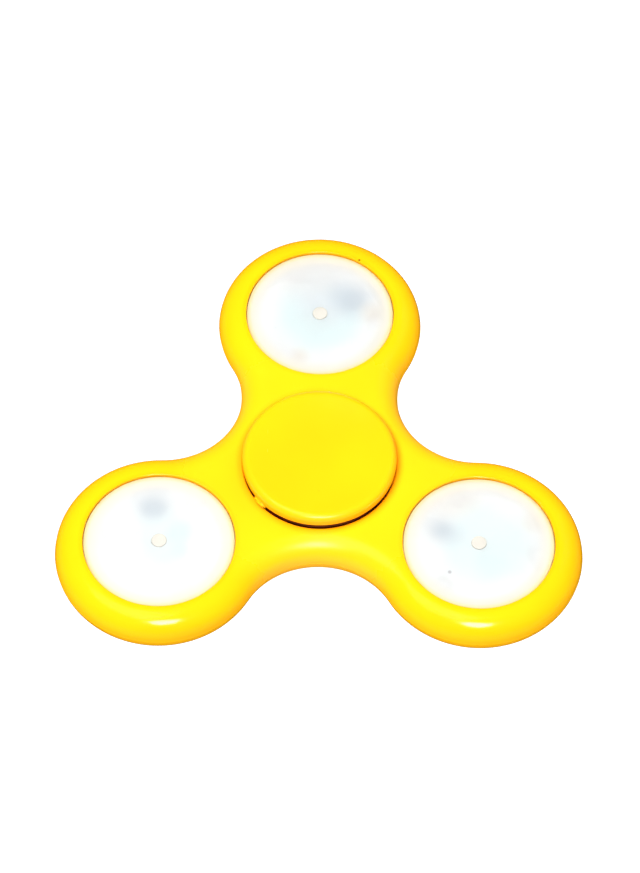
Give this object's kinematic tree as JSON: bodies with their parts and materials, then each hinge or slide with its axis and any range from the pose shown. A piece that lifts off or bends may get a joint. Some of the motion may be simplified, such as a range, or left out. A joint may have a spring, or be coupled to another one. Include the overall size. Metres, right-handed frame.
{
  "type": "fidget spinner",
  "caption": "Pocket fidget spinner with rounded lobes, a ball bearing between two finger caps, and a frosted light module with a push button in each lobe.",
  "frame": {"origin": "middle of the ball bearing, on the spin axis, halfway through the body's thickness", "axes": "+Z along the spin axis, out of the front finger cap on the side with the lenses and buttons; +Y from the spin axis through the middle of one lobe; +X to the right, seen from the front"},
  "size_m": [0.0762, 0.0701, 0.012],
  "materials": {
    "body": "glossy opaque yellow ABS, fine flow marks, rounded edges slightly darker",
    "cap": "glossy opaque yellow ABS, a shade warmer than the body",
    "lens": "frosted translucent white polystyrene",
    "back_cover": "frosted translucent white polystyrene",
    "board": "pale circuit board with solder mask",
    "switch": "black moulded switch housing",
    "spring_steel": "thin stamped spring steel",
    "button": "ivory acetal",
    "chip": "black epoxy drop",
    "led": "white package with clear resin",
    "cell": "nickel-plated steel can",
    "screw": "zinc-plated steel",
    "bearing_steel": "ground bearing steel",
    "bearing_shield": "pressed steel",
    "bearing_ball": "polished bearing steel",
    "cage": "natural nylon"
  },
  "bodies": {
    "finger_caps": {"finger_cap_front": "cap", "finger_cap_rear": "cap", "bearing_inner_ring": "bearing_steel"},
    "spinner": {"spinner_body": "body", "bearing_outer_ring": "bearing_steel", "bearing_shield_front": "bearing_shield", "bearing_shield_rear": "bearing_shield", "led_lens_1": "lens", "led_back_cover_1": "back_cover", "led_board_1": "board", "led_switch_1": "switch", "switch_dome_1": "spring_steel", "led_chip_1": "chip", "led_red_1": "led", "led_green_1": "led", "led_blue_1": "led", "coin_cell_1": "cell", "cell_clip_1": "spring_steel", "cover_screw_1a": "screw", "cover_screw_1b": "screw", "cover_screw_1c": "screw", "led_lens_2": "lens", "led_back_cover_2": "back_cover", "led_board_2": "board", "led_switch_2": "switch", "switch_dome_2": "spring_steel", "led_chip_2": "chip", "led_red_2": "led", "led_green_2": "led", "led_blue_2": "led", "coin_cell_2": "cell", "cell_clip_2": "spring_steel", "cover_screw_2a": "screw", "cover_screw_2b": "screw", "cover_screw_2c": "screw", "led_lens_3": "lens", "led_back_cover_3": "back_cover", "led_board_3": "board", "led_switch_3": "switch", "switch_dome_3": "spring_steel", "led_chip_3": "chip", "led_red_3": "led", "led_green_3": "led", "led_blue_3": "led", "coin_cell_3": "cell", "cell_clip_3": "spring_steel", "cover_screw_3a": "screw", "cover_screw_3b": "screw", "cover_screw_3c": "screw"},
    "bearing_cage": {"bearing_cage": "cage"},
    "bearing_ball_1": {"bearing_ball_1": "bearing_ball"},
    "bearing_ball_2": {"bearing_ball_2": "bearing_ball"},
    "bearing_ball_3": {"bearing_ball_3": "bearing_ball"},
    "bearing_ball_4": {"bearing_ball_4": "bearing_ball"},
    "bearing_ball_5": {"bearing_ball_5": "bearing_ball"},
    "bearing_ball_6": {"bearing_ball_6": "bearing_ball"},
    "bearing_ball_7": {"bearing_ball_7": "bearing_ball"},
    "led_button_1": {"led_button_1": "button"},
    "led_button_2": {"led_button_2": "button"},
    "led_button_3": {"led_button_3": "button"}
  },
  "joints": [
    {"name": "body_spin", "type": "hinge", "parent": "finger_caps", "child": "spinner", "pos_m": [0, 0, 0], "axis": [0, 0, 1], "continuous": true},
    {"name": "cage_spin", "type": "hinge", "parent": "finger_caps", "child": "bearing_cage", "pos_m": [0, 0, 0], "axis": [0, 0, 1], "continuous": true},
    {"name": "ball_1_roll", "type": "hinge", "parent": "bearing_cage", "child": "bearing_ball_1", "pos_m": [0.0075, 0, 0], "axis": [0, 0, 1], "continuous": true},
    {"name": "ball_2_roll", "type": "hinge", "parent": "bearing_cage", "child": "bearing_ball_2", "pos_m": [0.00468, 0.00586, 0], "axis": [0, 0, 1], "continuous": true},
    {"name": "ball_3_roll", "type": "hinge", "parent": "bearing_cage", "child": "bearing_ball_3", "pos_m": [-0.00167, 0.00731, 0], "axis": [0, 0, 1], "continuous": true},
    {"name": "ball_4_roll", "type": "hinge", "parent": "bearing_cage", "child": "bearing_ball_4", "pos_m": [-0.00676, 0.00325, 0], "axis": [0, 0, 1], "continuous": true},
    {"name": "ball_5_roll", "type": "hinge", "parent": "bearing_cage", "child": "bearing_ball_5", "pos_m": [-0.00676, -0.00325, 0], "axis": [0, 0, 1], "continuous": true},
    {"name": "ball_6_roll", "type": "hinge", "parent": "bearing_cage", "child": "bearing_ball_6", "pos_m": [-0.00167, -0.00731, 0], "axis": [0, 0, 1], "continuous": true},
    {"name": "ball_7_roll", "type": "hinge", "parent": "bearing_cage", "child": "bearing_ball_7", "pos_m": [0.00468, -0.00586, 0], "axis": [0, 0, 1], "continuous": true},
    {"name": "button_1_press", "type": "slide", "parent": "spinner", "child": "led_button_1", "axis": [0, 0, -1], "range_m": [0, 0.0002], "stiffness_N_per_m": 6400, "deforming": ["switch_dome_1"]},
    {"name": "button_2_press", "type": "slide", "parent": "spinner", "child": "led_button_2", "axis": [0, 0, -1], "range_m": [0, 0.0002], "stiffness_N_per_m": 6400, "deforming": ["switch_dome_2"]},
    {"name": "button_3_press", "type": "slide", "parent": "spinner", "child": "led_button_3", "axis": [0, 0, -1], "range_m": [0, 0.0002], "stiffness_N_per_m": 6400, "deforming": ["switch_dome_3"]}
  ],
  "couplings": [
    {"joint": "cage_spin", "follows": "body_spin", "ratio": 0.6323},
    {"joint": "ball_1_roll", "follows": "body_spin", "ratio": 1.7579},
    {"joint": "ball_2_roll", "follows": "body_spin", "ratio": 1.7579},
    {"joint": "ball_3_roll", "follows": "body_spin", "ratio": 1.7579},
    {"joint": "ball_4_roll", "follows": "body_spin", "ratio": 1.7579},
    {"joint": "ball_5_roll", "follows": "body_spin", "ratio": 1.7579},
    {"joint": "ball_6_roll", "follows": "body_spin", "ratio": 1.7579},
    {"joint": "ball_7_roll", "follows": "body_spin", "ratio": 1.7579}
  ]
}
